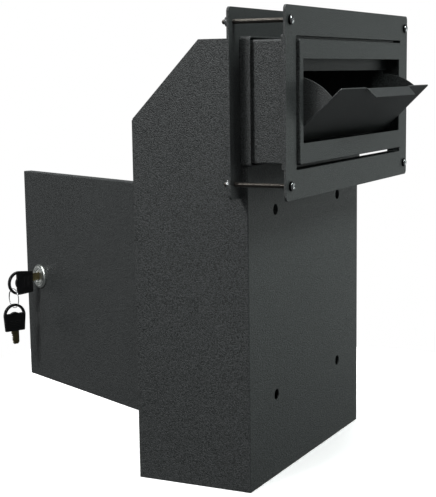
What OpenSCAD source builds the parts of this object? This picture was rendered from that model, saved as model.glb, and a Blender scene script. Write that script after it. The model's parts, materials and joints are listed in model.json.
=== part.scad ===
// Through-wall parcel drop box with a telescoping chute, a tilt-out hopper and a locking rear door.
// Millimetres. +X right seen from the street side, +Y into the room, +Z up.
// Origin: centre of the underside of the box.

/* [Box] */
// Width of the box
box_w = 254; // [230:1:300]
// Depth of the box at its base
box_d = 108; // [100:1:160]
// Height of the box at the flat part of its roof
box_h = 377.6; // [370:0.1:400]
// Height of the rear wall, where the roof slope ends
rear_h = 312; // [290:1:330]
// Depth of the flat part of the roof
roof_flat = 43.4; // [40:0.1:60]
// Thickness of the folded steel sheet
sheet = 1.2; // [1:0.1:1.5]

/* [Wall fixing] */
// Distance between the fixing holes across the front panel
hole_span_x = 144; // [120:1:180]
// Distance between the fixing holes up the front panel
hole_span_z = 162; // [120:1:170]
// Height of the lower fixing holes
hole_low_z = 72.8; // [60:0.1:90]
// Diameter of the fixing holes
hole_dia = 9.5; // [6:0.5:12]

/* [Plates and bolts] */
// Width of the face plate and of the wall flange
plate_w = 295.2; // [290:0.1:320]
// Height of the face plate and of the wall flange
plate_h = 152.1; // [150:0.1:170]
// Height of the lower edge of both plates
plate_z = 249.7; // [245:0.1:255]
// Thickness of both plates
plate_t = 2; // [1.5:0.1:3]
// Radius of the plate corners
plate_r = 4; // [2:0.5:8]
// Distance from the front of the box to the street side of the face plate
plate_reach = 43.1; // [43:0.1:44]
// Setback of the wall flange behind the front of the box
flange_back = 5.4; // [5:0.1:7]
// Diameter of the clamping bolts
bolt_dia = 4; // [3:0.5:5]
// Distance from a plate's side edge to its bolts
bolt_in_x = 9; // [8:0.5:12]
// Distance from a plate's top or bottom edge to its bolts
bolt_in_z = 11.6; // [10:0.1:14]

/* [Chute] */
// Width of the chute sleeve
sleeve_w = 249; // [240:1:250]
// Height of the chute sleeve
sleeve_h = 99.1; // [98:0.1:99.1]
// Height of the underside of the sleeve
sleeve_z = 277; // [277:0.1:277.5]
// Width of the loading opening
mouth_w = 235.5; // [230:0.5:240]
// Height of the loading opening
mouth_h = 66.9; // [60:0.1:70]
// Height of the lower edge of the loading opening
mouth_z = 293.8; // [292:0.1:296]
// How far the sleeve stands proud of the face plate
sleeve_proud = 2.2; // [1:0.1:3]

/* [Hopper] */
// Angle by which the hopper tilts out
hopper_tilt = 47; // [30:1:50]
// Radius of the hopper's cheeks
cheek_r = 47.5; // [44:0.5:50]
// Height of the hopper pivot above the lower edge of the opening
pivot_up = 6.1; // [5:0.1:8]
// Depth of the pivot behind the front of the sleeve
pivot_in = 14; // [12:0.1:16]
// Height of the hopper panel above its pivot
panel_up = 57.5; // [50:0.1:58]
// Width of the pull lip
lip_w = 107; // [60:1:140]
// Length of the pull lip
lip_l = 10; // [6:0.1:10]

/* [Door] */
// Width of the door
door_w = 212.6; // [180:0.1:216]
// Height of the door
door_h = 206.3; // [160:0.1:220]
// Height of the lower edge of the door
door_z = 50.3; // [40:0.1:60]
// Gap round the closed door
door_gap = 0.7; // [0.5:0.1:1.5]
// Angle at which the door stands open
door_open = 64.4; // [0:0.1:110]
// Distance from the door's free edge to the lock
lock_in = 26.4; // [22:0.1:32]

/* [Lock and keys] */
// Diameter of the lock's rim
rim_dia = 23.4; // [20:0.1:26]
// Diameter of the lock plug
plug_dia = 13; // [11:0.5:14]
// Length of a key head
head_l = 27; // [22:0.5:30]
// Width of a key head
head_w = 23.5; // [18:0.5:26]
// Outer diameter of the key ring
ring_dia = 20; // [16:0.1:22]

/* [Hidden] */
$fn = 64;

// Main planes
front_y = -box_d / 2;
rear_y = box_d / 2;
side_x = box_w / 2;
face_y = front_y - plate_reach;
flange_y = front_y + flange_back;
flange_rear_y = flange_y + plate_t;
sleeve_front_y = face_y - sleeve_proud;
sleeve_rear_y = front_y + 6;
sleeve_top = sleeve_z + sleeve_h;
slope_angle = atan2(box_h - rear_h, box_d - roof_flat);

// Collar round the sleeve, in front of the wall flange
collar_t = 1.5;
collar_out = 2;
collar_z0 = 274.6;
collar_z1 = box_h + 1.3;
collar_front_y = front_y - 4.1;

// Bolts, washers and nuts
bolt_r = bolt_dia / 2;
bolt_x = plate_w / 2 - bolt_in_x;
bolt_zs = [plate_z + bolt_in_z, plate_z + plate_h - bolt_in_z];
bolt_end_y = front_y + 14.6;
bolt_hole_r = bolt_r + 0.1;
washer_r = 4.8;
front_washer_t = 0.8;
rear_washer_t = 1.4;
nut_af = 7.2;
nut_h = 3.3;
dome_r = 3.8;
dome_h = 2.3;

// Face plate window
window_w = box_w;
window_z0 = 272.9;
window_z1 = 378.5;
return_depth = 10.5;

// Hopper, in its closed place: panel upright, street side towards -Y
pivot_y = sleeve_front_y + pivot_in;
pivot_z = mouth_z + pivot_up;
pivot_r = 2.5;
panel_off = 4;
panel_down = 4.5;
panel_w_low = mouth_w - 2.6;
panel_w_top = 226;
panel_taper_from = 14;
cheek_x = 112.8;
cheek_back = 57;
ear_r = 55;
ear_from = hopper_tilt + 1.3;
stop_y = pivot_y - 0.4;
stop_z = 350.8;

// Door hinge axis, on the left seen from the street side
hinge_r = 2.6;
hinge_pin_r = 1.5;
hinge_x = -door_w / 2 - 0.3;
hinge_y = rear_y + hinge_r;
hinge_len = 40;
hinge_zs = [door_z + 24, door_z + door_h - 24 - hinge_len];
knuckle = 12;
leaf_w = 13;
leaf_t = 1;
door_flange = 9;
frame_flange = 16;
door_x1 = door_w / 2;

// Lock, in the closed door
lock_x = door_x1 - lock_in;
lock_z = door_z + door_h / 2;
barrel_r = 9.3;
rim_t = 2.8;
rim_y = rear_y + rim_t;
barrel_end_y = rear_y - 16.5;
plug_r = plug_dia / 2;
plug_hole_r = plug_r + 0.05;
cam_t = 1.8;
cam_reach = 34;
keyway_w = 2.2;
keyway_h = 8;

// Keys
blade_t = 2;
blade_w = 7.6;
blade_l = 13;
shank_l = 6.4;
blade_in = blade_l - shank_l;
head_t = 2.8;
head_rim = 2.4;
head_drop = 4.2;
head_y = rim_y + shank_l;
wire_r = 0.6;
ring_gap = 0.85;
ring_r = ring_dia / 2 - wire_r;
loop_y = head_y + head_l - head_rim - 3.2;
loop_low_z = lock_z - head_drop - 6.5;
ring_z = loop_low_z + ring_gap - ring_r + wire_r;
spare_top_z = ring_z - ring_r + wire_r + ring_gap + head_rim;

// Colours
coat = [0.22, 0.23, 0.23];
coat_dark = [0.13, 0.14, 0.14];
zinc = [0.72, 0.73, 0.74];
black = [0.06, 0.06, 0.06];
brass_tone = [0.62, 0.55, 0.38];

// ---- helpers ----

// Rectangle with true round corners, centred on X, from z0 up
module round_rect(w, z0, z1, r) {
    translate([-w / 2 + r, z0]) square([w - 2 * r, z1 - z0]);
    translate([-w / 2, z0 + r]) square([w, z1 - z0 - 2 * r]);
    for (x = [-1, 1], z = [z0 + r, z1 - r])
        translate([x * (w / 2 - r), z]) circle(r);
}

// Stand an XZ outline up and give it thickness t from y to y + t
module upright(y, t) {
    translate([0, y + t, 0]) rotate([90, 0, 0]) linear_extrude(t) children();
}

// Turn a YZ outline into a sheet from x to x + t
module crosswise(x, t) {
    translate([x, 0, 0]) rotate([90, 0, 90]) linear_extrude(t) children();
}

// Cylinder along +Y from y0 to y1
module rod_y(x, z, r, y0, y1) {
    translate([x, y0, z]) rotate([-90, 0, 0]) cylinder(r = r, h = y1 - y0);
}

// Cylinder along +X from x0 to x1
module rod_x(y, z, r, x0, x1) {
    translate([x0, y, z]) rotate([0, 90, 0]) cylinder(r = r, h = x1 - x0);
}

// Places children at the four bolt positions
module at_bolts() {
    for (x = [-bolt_x, bolt_x], z = bolt_zs)
        translate([x, 0, z]) children();
}

// Hexagonal prism along +Y from y0 to y1
module hex_y(af, y0, y1) {
    translate([0, y0, 0]) rotate([-90, 0, 0]) cylinder(r = af / 2 / cos(30), h = y1 - y0, $fn = 6);
}

// Carries children from the closed door to the standing-open door
module on_door() {
    translate([hinge_x, hinge_y, 0]) rotate([0, 0, door_open]) translate([-hinge_x, -hinge_y, 0]) children();
}

// Carries children from the closed hopper to the tilted-out hopper
module on_hopper() {
    translate([0, pivot_y, pivot_z]) rotate([hopper_tilt, 0, 0]) translate([0, -pivot_y, -pivot_z]) children();
}

// ---- box ----

module side_panel(x) {
    color(coat) crosswise(x, sheet) polygon([
        [front_y + sheet, 0], [rear_y - sheet, 0], [rear_y - sheet, rear_h + sheet * tan(slope_angle)],
        [front_y + roof_flat, box_h], [flange_rear_y, box_h],
        [flange_rear_y, collar_z0], [front_y + sheet, collar_z0]]);
}

// Plan of a full-width sheet whose outer vertical edges are rounded; the outer face is at y = 0
module edge_plan() {
    translate([-side_x + sheet, 0]) square([box_w - 2 * sheet, sheet]);
    intersection() {
        translate([-side_x, 0]) square([box_w, sheet]);
        for (x = [-1, 1]) translate([x * (side_x - sheet), sheet]) circle(sheet);
    }
}

module front_panel() {
    color(coat) difference() {
        translate([0, front_y, 0]) linear_extrude(collar_z0) edge_plan();
        for (x = [-1, 1], z = [hole_low_z, hole_low_z + hole_span_z])
            rod_y(x * hole_span_x / 2, z, hole_dia / 2, front_y - 1, front_y + sheet + 1);
    }
}

module bottom_panel() {
    inner_w = box_w - 2 * sheet;
    lip = 12;
    color(coat) {
        translate([-inner_w / 2, front_y + sheet, 0]) cube([inner_w, box_d - 2 * sheet, sheet]);
        translate([-inner_w / 2, front_y + sheet, 0]) cube([inner_w, sheet, lip]);
    }
}

module roof_panel() {
    vertical_t = sheet / cos(slope_angle);
    color(coat) crosswise(-side_x + sheet, box_w - 2 * sheet) polygon([
        [flange_rear_y, box_h], [front_y + roof_flat, box_h],
        [rear_y - sheet, rear_h + sheet * tan(slope_angle)],
        [rear_y - sheet, rear_h + sheet * tan(slope_angle) - vertical_t],
        [front_y + roof_flat - sheet * tan(slope_angle / 2), box_h - sheet], [flange_rear_y, box_h - sheet]]);
}

// Outline of the doorway, grown by an amount on every side
module doorway(grow) {
    open_x = door_x1 + door_gap + grow;
    translate([-open_x, door_z - door_gap - grow]) square([2 * open_x, door_h + 2 * (door_gap + grow)]);
}

module rear_frame() {
    color(coat) difference() {
        translate([0, rear_y, 0]) mirror([0, 1, 0]) linear_extrude(rear_h) edge_plan();
        upright(rear_y - sheet - 1, sheet + 2) doorway(0);
    }
}

// Flange that runs in from the doorway, which the lock's cam catches behind
module door_return() {
    color(coat) upright(rear_y - frame_flange, frame_flange - sheet) difference() {
        doorway(sheet);
        doorway(0);
    }
}

module wall_flange() {
    inner_x = side_x - sheet;
    color(coat_dark) difference() {
        upright(flange_y, plate_t) difference() {
            round_rect(plate_w, plate_z, plate_z + plate_h, plate_r);
            translate([-side_x, plate_z - 1]) square([box_w, collar_z0 - plate_z + 1]);
            translate([-inner_x, plate_z]) square([2 * inner_x, box_h - sheet - plate_z]);
        }
        at_bolts() rod_y(0, 0, bolt_hole_r, flange_y - 1, flange_rear_y + 1);
    }
}

module chute_collar() {
    w = box_w + 2 * collar_out;
    color(coat_dark) upright(collar_front_y, flange_y - collar_front_y) difference() {
        round_rect(w, collar_z0, collar_z1, 3);
        round_rect(w - 2 * collar_t, collar_z0 + collar_t, collar_z1 - collar_t, 1.5);
    }
}

module flange_washers() {
    color(black) at_bolts() difference() {
        rod_y(0, 0, washer_r, flange_rear_y, flange_rear_y + rear_washer_t);
        rod_y(0, 0, bolt_hole_r, flange_rear_y - 1, flange_rear_y + rear_washer_t + 1);
    }
}

module flange_nuts() {
    y0 = flange_rear_y + rear_washer_t;
    color(zinc) at_bolts() difference() {
        hex_y(nut_af, y0, y0 + nut_h);
        rod_y(0, 0, bolt_r + 0.05, y0 - 1, y0 + nut_h + 1);
    }
}

// ---- door hinge ----

// One knuckle of the hinge, from height z over length len, with a bore of radius bore_r
module knuckle_barrel(z, len, bore_r) {
    difference() {
        translate([hinge_x, hinge_y, z]) cylinder(r = hinge_r, h = len);
        translate([hinge_x, hinge_y, z - 1]) cylinder(r = bore_r, h = len + 2);
    }
}

module hinge_fixed_leaves() {
    color(coat_dark) for (z = hinge_zs) {
        for (zk = [z, z + hinge_len - knuckle]) {
            knuckle_barrel(zk, knuckle, hinge_pin_r);
            difference() {
                translate([hinge_x - leaf_w, rear_y, zk]) cube([leaf_w, leaf_t, knuckle]);
                translate([hinge_x, hinge_y, zk - 1]) cylinder(r = hinge_r, h = knuckle + 2);
            }
        }
        translate([hinge_x - leaf_w, rear_y, z]) cube([leaf_w - hinge_r - 0.6, leaf_t, hinge_len]);
    }
}

module hinge_pins() {
    color(zinc) for (z = hinge_zs) {
        translate([hinge_x, hinge_y, z - 0.8]) cylinder(r = hinge_pin_r, h = hinge_len + 1.6);
        for (ze = [z - 1.6, z + hinge_len]) translate([hinge_x, hinge_y, ze]) cylinder(r = 2.1, h = 1.6);
    }
}

module hinge_door_leaves() {
    gap = 0.3;
    color(coat_dark) on_door() for (z = hinge_zs) {
        z0 = z + knuckle + gap;
        len = hinge_len - 2 * knuckle - 2 * gap;
        knuckle_barrel(z0, len, hinge_pin_r + 0.05);
        difference() {
            translate([hinge_x, rear_y, z0]) cube([leaf_w, leaf_t, len]);
            translate([hinge_x, hinge_y, z0 - 1]) cylinder(r = hinge_r, h = len + 2);
        }
        translate([hinge_x + hinge_r + 0.6, rear_y, z]) cube([leaf_w - hinge_r - 0.6, leaf_t, hinge_len]);
    }
}

// ---- chute ----

module chute_sleeve() {
    color(coat) upright(sleeve_front_y + sheet, sleeve_rear_y - sleeve_front_y - sheet) difference() {
        round_rect(sleeve_w, sleeve_z, sleeve_top, 2);
        round_rect(sleeve_w - 2 * sheet, sleeve_z + sheet, sleeve_top - sheet, 0.8);
    }
}

module sleeve_front() {
    color(coat) upright(sleeve_front_y, sheet) difference() {
        round_rect(sleeve_w, sleeve_z, sleeve_top, 2);
        round_rect(mouth_w, mouth_z, mouth_z + mouth_h, 0.6);
    }
}

module face_plate() {
    color(coat) difference() {
        upright(face_y, plate_t) difference() {
            round_rect(plate_w, plate_z, plate_z + plate_h, plate_r);
            round_rect(window_w, window_z0, window_z1, 1);
        }
        at_bolts() rod_y(0, 0, bolt_hole_r, face_y - 1, face_y + plate_t + 1);
    }
}

// Welded flange that runs back from the window's edges towards the wall
module window_return() {
    color(coat) upright(face_y + plate_t, return_depth) difference() {
        round_rect(window_w + 2 * sheet, window_z0 - sheet, window_z1 + sheet, 2);
        round_rect(window_w, window_z0, window_z1, 1);
    }
}

// Welded bars that hold the sleeve in the face plate's return flange: one on top, one at each side
module sleeve_spacers() {
    back_y = face_y + plate_t;
    bar_w = 236;
    bar_y = 7;
    side_z = 312;
    side_h = 30;
    side_w = (window_w - sleeve_w) / 2;
    color(coat) {
        translate([-bar_w / 2, back_y + 2, sleeve_top]) cube([bar_w, bar_y, window_z1 - sleeve_top]);
        for (x = [-window_w / 2, sleeve_w / 2])
            translate([x, back_y + 2, side_z]) cube([side_w, bar_y, side_h]);
    }
}

module bolt_washers() {
    color(black) at_bolts() difference() {
        rod_y(0, 0, washer_r, face_y - front_washer_t, face_y);
        rod_y(0, 0, bolt_hole_r, face_y - front_washer_t - 1, face_y + 1);
    }
}

// Pan-head machine screws: threaded shank and domed head in one piece
module through_bolts() {
    head_y0 = face_y - front_washer_t;
    sphere_r = (dome_r * dome_r + dome_h * dome_h) / (2 * dome_h);
    color(zinc) at_bolts() {
        rod_y(0, 0, bolt_r, head_y0, bolt_end_y);
        intersection() {
            translate([0, head_y0 - dome_h + sphere_r, 0]) sphere(sphere_r);
            rod_y(0, 0, dome_r, head_y0 - dome_h, head_y0);
        }
    }
}

// Angle strip under the sleeve roof that the closed hopper and its cheek ears rest against
module hopper_stop() {
    inner_w = sleeve_w - 2 * sheet - 1.6;
    top = sleeve_top - sheet;
    color(coat) {
        translate([-inner_w / 2, stop_y, stop_z]) cube([inner_w, sheet, top - stop_z]);
        translate([-inner_w / 2, stop_y, top - sheet]) cube([inner_w, 12, sheet]);
    }
}

module hopper_pivot_rod() {
    inner_x = sleeve_w / 2 - sheet;
    color(zinc) rod_x(pivot_y, pivot_z, pivot_r, -inner_x, inner_x);
}

// Small bosses welded inside the sleeve walls that carry the ends of the pivot rod
module pivot_rod_caps() {
    inner_x = sleeve_w / 2 - sheet;
    boss = 5;
    color(zinc) difference() {
        for (x = [-inner_x, inner_x - boss]) rod_x(pivot_y, pivot_z, 4.2, x, x + boss);
        rod_x(pivot_y, pivot_z, pivot_r, -inner_x - 1, inner_x + 1);
    }
}

// ---- hopper ----

// Outline of the hopper panel, drawn as seen from the street side
module panel_outline() {
    z0 = pivot_z - panel_down;
    z1 = pivot_z + panel_up;
    zt = pivot_z + panel_taper_from;
    polygon([[-panel_w_low / 2, z0], [panel_w_low / 2, z0], [panel_w_low / 2, zt],
             [panel_w_top / 2, z1], [-panel_w_top / 2, z1], [-panel_w_low / 2, zt]]);
}

module hopper_panel() {
    y0 = pivot_y - panel_off;
    z1 = pivot_z + panel_up;
    color(coat) on_hopper() {
        upright(y0, sheet) panel_outline();
        translate([-lip_w / 2, y0 - lip_l, z1 - sheet]) cube([lip_w, lip_l, sheet]);
    }
}

// Quadrant cheek: a sector that guards the side of the hopper, with an ear that meets the stop
module cheek_outline() {
    face = panel_off - sheet;
    difference() {
        union() {
            intersection() {
                circle(cheek_r);
                polygon([[-face, -6], [-face, cheek_r + 5], [cheek_r * 2, cheek_r + 5],
                         [cheek_r * 2, cheek_r * 2 / tan(cheek_back)], [4, -6]]);
            }
            intersection() {
                circle(ear_r);
                polygon([[0, 0], [80 * sin(ear_from), 80 * cos(ear_from)],
                         [80 * sin(cheek_back), 80 * cos(cheek_back)]]);
            }
        }
        circle(pivot_r + 0.05);
    }
}

module hopper_cheek(x) {
    color(coat) on_hopper() translate([x, pivot_y, pivot_z])
        rotate([90, 0, 90]) linear_extrude(sheet) cheek_outline();
}

// ---- door ----

module door_panel() {
    color(coat) on_door() difference() {
        translate([-door_x1, rear_y - door_flange, door_z]) cube([door_w, door_flange, door_h]);
        translate([-door_x1 + sheet, rear_y - door_flange - 1, door_z + sheet])
            cube([door_w - 2 * sheet, door_flange + 1 - sheet, door_h - 2 * sheet]);
        rod_y(lock_x, lock_z, barrel_r + 0.1, rear_y - sheet - 1, rear_y + 1);
    }
}

module lock_housing() {
    color(zinc) on_door() translate([lock_x, 0, lock_z]) difference() {
        union() {
            rod_y(0, 0, barrel_r, barrel_end_y, rear_y);
            translate([0, rear_y, 0]) rotate([-90, 0, 0]) rotate_extrude() polygon([
                [0, 0], [rim_dia / 2, 0], [rim_dia / 2, rim_t - 1], [rim_dia / 2 - 0.8, rim_t], [0, rim_t]]);
        }
        rod_y(0, 0, plug_hole_r, barrel_end_y - 1, rim_y + 1);
    }
}

module lock_nut() {
    y1 = rear_y - sheet;
    color(zinc) on_door() translate([lock_x, 0, lock_z]) difference() {
        hex_y(24, y1 - 4, y1);
        rod_y(0, 0, barrel_r, y1 - 5, y1 + 1);
    }
}

module lock_plug() {
    color(zinc) on_door() translate([lock_x, 0, lock_z]) difference() {
        rod_y(0, 0, plug_r, barrel_end_y, rim_y - 0.5);
        translate([-keyway_w / 2, rim_y - blade_in - 1, -keyway_h / 2])
            cube([keyway_w, blade_in + 2, keyway_h]);
    }
}

// Cam in its unlocked place, pointing down
module lock_cam() {
    color(zinc) on_door() difference() {
        upright(barrel_end_y - cam_t, cam_t) translate([lock_x, lock_z]) {
            circle(8);
            translate([-7, -cam_reach + 2]) square([14, cam_reach - 2]);
            translate([-5, -cam_reach]) square([10, 4]);
        }
        rod_y(lock_x, lock_z, 2.6, barrel_end_y - cam_t - 1, barrel_end_y + 1);
    }
}

module cam_washer() {
    y1 = barrel_end_y - cam_t;
    color(zinc) on_door() difference() {
        rod_y(lock_x, lock_z, 5.5, y1 - 1, y1);
        rod_y(lock_x, lock_z, 2.6, y1 - 2, y1 + 1);
    }
}

module cam_screw() {
    y1 = barrel_end_y - cam_t - 1;
    color(zinc) on_door() {
        rod_y(lock_x, lock_z, 2.6, y1, barrel_end_y);
        translate([lock_x, 0, lock_z]) hex_y(8, y1 - 3.2, y1);
    }
}

// ---- keys ----

// Key head outline with its blade end on y = 0 and its round end at y = head_l
module head_outline() {
    r = head_w / 2;
    mid = head_l - r;
    difference() {
        union() {
            translate([0, mid]) circle(r);
            polygon([[-r + 1.4, 0], [r - 1.4, 0], [r, mid], [-r, mid]]);
        }
        difference() {
            translate([0, mid]) circle(r - head_rim);
            translate([-head_w, mid - head_w]) square([2 * head_w, head_w + 2.2]);
            translate([0, mid - 3.4]) circle(7);
        }
    }
}

// Blade outline with its shoulder on y = 0 and its tip at y = -len
module blade_outline(len) {
    w = blade_w / 2;
    cut = 1.1;
    polygon(concat([[-w, 0], [w, 0], [w, -3]],
        [for (i = [0 : 2]) each [[w - cut, -4.6 - i * 3.2], [w - 0.3, -6.2 - i * 3.2]]],
        [[w - 2, -len], [-w + 1.6, -len], [-w, -len + 2]]));
}

// Lays a key outline in the vertical plane through the lock axis, its head away from the door
module key_in_lock(t, drop) {
    translate([lock_x - t / 2, 0, lock_z - drop]) rotate([90, 0, 90]) linear_extrude(t)
        rotate(-90) mirror([0, 1]) children();
}

// Hangs a key outline head up in the same plane, below the ring
module key_hanging(t) {
    translate([lock_x - t / 2, loop_y, spare_top_z - head_l]) rotate([90, 0, 90]) linear_extrude(t) children();
}

module key_blade() {
    color(zinc) on_door() intersection() {
        translate([0, head_y, 0]) key_in_lock(blade_t, 0) mirror([0, 1]) blade_outline(blade_l);
        translate([lock_x - 5, head_y - blade_l - 1, lock_z - keyway_h / 2 + 0.1])
            cube([10, 60, keyway_h - 0.2]);
    }
}

module key_head() {
    color(black) on_door() translate([0, head_y, 0]) key_in_lock(head_t, head_drop) mirror([0, 1]) head_outline();
}

module key_ring() {
    color(zinc) on_door() translate([lock_x, loop_y, ring_z]) rotate([90, 0, 0])
        rotate_extrude() translate([ring_r, 0]) circle(wire_r, $fn = 24);
}

module spare_key_blade() {
    color(brass_tone) on_door() key_hanging(blade_t) blade_outline(blade_l);
}

module spare_key_head() {
    color(black) on_door() key_hanging(head_t) head_outline();
}

side_panel(-side_x);  // left_side_panel
side_panel(side_x - sheet);  // right_side_panel
front_panel();
bottom_panel();
roof_panel();
rear_frame();
door_return();
wall_flange();
chute_collar();
flange_washers();
flange_nuts();
hinge_fixed_leaves();
hinge_pins();
chute_sleeve();
sleeve_front();
face_plate();
window_return();
sleeve_spacers();
through_bolts();
bolt_washers();
hopper_stop();
hopper_pivot_rod();
pivot_rod_caps();
hopper_panel();
hopper_cheek(-cheek_x - sheet);  // hopper_cheek_left
hopper_cheek(cheek_x);  // hopper_cheek_right
door_panel();
hinge_door_leaves();
lock_housing();
lock_nut();
lock_plug();
lock_cam();
cam_washer();
cam_screw();
key_blade();
key_head();
key_ring();
spare_key_blade();
spare_key_head();
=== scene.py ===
# %% [markdown]
# # A through-wall parcel drop box
# The real thing is a box of folded steel sheet that hangs inside a wall. A short chute runs
# through the wall to a tilt-out hopper, and a locked door at the back lets the parcels out.
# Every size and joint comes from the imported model. Blender adds what the eye wants: softened
# sheet edges, real threads, a proper lock with its keys, and finishes that look like metal.

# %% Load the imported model
import json
import math

import bmesh
import bpy
from mathutils import Matrix, Vector


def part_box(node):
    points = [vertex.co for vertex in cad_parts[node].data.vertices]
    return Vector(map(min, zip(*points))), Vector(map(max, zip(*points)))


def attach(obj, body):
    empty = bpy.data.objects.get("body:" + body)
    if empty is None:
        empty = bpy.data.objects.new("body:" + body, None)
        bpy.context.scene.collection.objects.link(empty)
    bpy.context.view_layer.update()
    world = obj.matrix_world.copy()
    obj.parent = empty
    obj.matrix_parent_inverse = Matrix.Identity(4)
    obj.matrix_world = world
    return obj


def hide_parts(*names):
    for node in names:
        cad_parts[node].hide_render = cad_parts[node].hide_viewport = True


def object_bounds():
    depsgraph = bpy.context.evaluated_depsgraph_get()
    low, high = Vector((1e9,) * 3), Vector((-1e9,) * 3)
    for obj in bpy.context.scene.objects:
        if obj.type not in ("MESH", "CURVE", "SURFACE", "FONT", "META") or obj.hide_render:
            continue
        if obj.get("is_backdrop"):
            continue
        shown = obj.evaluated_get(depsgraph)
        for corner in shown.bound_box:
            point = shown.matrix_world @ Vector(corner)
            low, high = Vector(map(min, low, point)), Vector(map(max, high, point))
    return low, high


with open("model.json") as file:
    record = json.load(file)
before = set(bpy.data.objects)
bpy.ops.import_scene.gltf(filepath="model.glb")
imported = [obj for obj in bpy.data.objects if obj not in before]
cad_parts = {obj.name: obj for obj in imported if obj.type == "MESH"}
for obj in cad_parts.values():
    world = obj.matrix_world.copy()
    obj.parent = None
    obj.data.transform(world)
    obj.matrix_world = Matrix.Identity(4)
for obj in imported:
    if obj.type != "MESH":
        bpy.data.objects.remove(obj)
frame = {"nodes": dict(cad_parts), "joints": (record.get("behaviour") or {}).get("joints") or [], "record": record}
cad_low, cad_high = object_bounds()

SCENE = bpy.context.scene
NODES = frame["nodes"]
MM = 0.001
print("CAD pieces:", len(NODES))

# %% [markdown]
# ## Places read from the joints
# The door and the hopper stand open. Their pieces are easiest to shape closed, in plain upright
# planes, and are then carried to where they stand by the same turn as the joint.

# %% Places read from the joints
JOINT = {joint["name"]: joint for joint in frame["joints"]}


def turn_about(name, degrees):
    """The turn about a joint's axis by an angle, as a matrix in the row frame."""
    point = Vector(JOINT[name]["pos_m"])
    turn = Matrix.Rotation(math.radians(degrees), 4, Vector(JOINT[name]["axis"]))
    return Matrix.Translation(point) @ turn @ Matrix.Translation(-point)


DOOR = turn_about("door_swing", -JOINT["door_swing"]["range_deg"][0])
HOPPER = turn_about("hopper_tilt", -JOINT["hopper_tilt"]["range_deg"][1])
LOCK_AT = DOOR.inverted() @ Vector(JOINT["lock_turn"]["pos_m"])
print("door stands open by", -JOINT["door_swing"]["range_deg"][0], "degrees")

# %% [markdown]
# ## Camera
# The box is seen from its front left, a little above the middle, with a long lens, so its edges
# stay nearly parallel. The lens is moved a little off centre so that the whole box fits the frame.

# %% Camera
LENS_MM = 91.514
SENSOR_MM = 36
LENS_SHIFT = 0.04547
YAW, PITCH, ROLL = math.radians(63.26), math.radians(8.89), math.radians(0.81)
CAMERA_AT = Vector((-1051.8, -491.9, 349.9)) * MM

forward = Vector((math.sin(YAW) * math.cos(PITCH), math.cos(YAW) * math.cos(PITCH), -math.sin(PITCH)))
level = Vector((math.cos(YAW), -math.sin(YAW), 0))
down = forward.cross(level)
right = level * math.cos(ROLL) + down * math.sin(ROLL)
down = down * math.cos(ROLL) - level * math.sin(ROLL)

lens = bpy.data.cameras.new("camera")
lens.sensor_width = SENSOR_MM
lens.lens = LENS_MM
lens.shift_y = LENS_SHIFT
lens.clip_start = 0.05
lens.clip_end = 20
camera = bpy.data.objects.new("camera", lens)
axes = Matrix((right, -down, -forward)).transposed().to_4x4()
camera.matrix_world = Matrix.Translation(CAMERA_AT) @ axes
SCENE.collection.objects.link(camera)
SCENE.camera = camera
print("focal length in mm:", round(lens.lens, 1))

# %% [markdown]
# ## Floor and light
# A plain pale floor, and light as in a small product studio. A wide soft box at the front right
# gives the street side its sheen, a high one in front lights the plates, three at the left shape
# the long side and the door, and one overhead keeps the floor bright. The two at the right and the
# rear are for the other views. The surround is dim, so the dark coat keeps its depth, and it is
# white behind. The floor is hidden from bounced and mirrored rays, a setting with no real counterpart,
# so that a white floor this near does not light the dark coat from below. The right box is hidden
# from mirrored rays as well, or it glares off the roof when the box is seen from the left.

# %% Floor and light
MIDDLE = (0, -0.03, 0.2)


def soft_box(name, at, size, watts, colour=(1, 1, 1), aim=MIDDLE):
    """A square area light at a point, turned to face another."""
    data = bpy.data.lights.new(name, "AREA")
    data.shape = "SQUARE"
    data.size = size
    data.energy = watts
    data.color = colour
    light = bpy.data.objects.new(name, data)
    light.location = at
    light.rotation_euler = (Vector(aim) - Vector(at)).to_track_quat("-Z", "Y").to_euler()
    SCENE.collection.objects.link(light)
    return light


COOL = (0.92, 1.0, 0.97)
soft_box("front_right_box", (1.9, -1.2, 0.05), 1.4, 6.6, COOL)
soft_box("high_front_box", (-0.1, -1.5, 1.6), 0.6, 19, COOL)
soft_box("front_left_box", (-1.6, -0.9, 1.5), 0.5, 3.6)
soft_box("near_left_box", (-1.2, 0.4, 1.0), 0.3, 5.0)
soft_box("rear_left_box", (-1.7, 0.45, 1.6), 0.5, 18)
soft_box("rear_box", (-0.2, 1.5, 0.1), 0.4, 0.5)
right_box = soft_box("right_box", (1.7, 0.5, 0.5), 0.6, 15)
right_box.visible_glossy = False
soft_box("top_box", (0.0, 0.1, 2.4), 1.6, 45)

HALF_FLOOR = 0.45
floor_z = cad_low.z - 0.2 * MM
floor_mesh = bpy.data.meshes.new("floor")
corners = [(x * HALF_FLOOR, y * HALF_FLOOR, floor_z) for x, y in ((-1, -1), (1, -1), (1, 1), (-1, 1))]
floor_mesh.from_pydata(corners, [], [(0, 1, 2, 3)])
floor = bpy.data.objects.new("floor", floor_mesh)
SCENE.collection.objects.link(floor)
floor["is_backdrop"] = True
floor.visible_diffuse = False
floor.visible_glossy = False

SCENE.view_settings.view_transform = "Standard"
SURROUND = 0.1
world = bpy.data.worlds.new("surround")
world.use_nodes = True
SCENE.world = world
print("floor at z =", round(floor_z / MM, 1), "mm")

# %% [markdown]
# ## Node helper
# One small function adds a node to any tree, with its settings, its values and its links.

# %% Node helper


def add(tree, kind, inputs=None, **settings):
    """Adds a node with its properties, and a value or a link for each input socket named or numbered."""
    node = tree.nodes.new(kind)
    for key, value in settings.items():
        setattr(node, key, value)
    for key, value in (inputs or {}).items():
        if isinstance(value, (list, bpy.types.NodeSocket)):
            for link in value if isinstance(value, list) else [value]:
                tree.links.new(link, node.inputs[key])
        else:
            node.inputs[key].default_value = value
    return node


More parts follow.
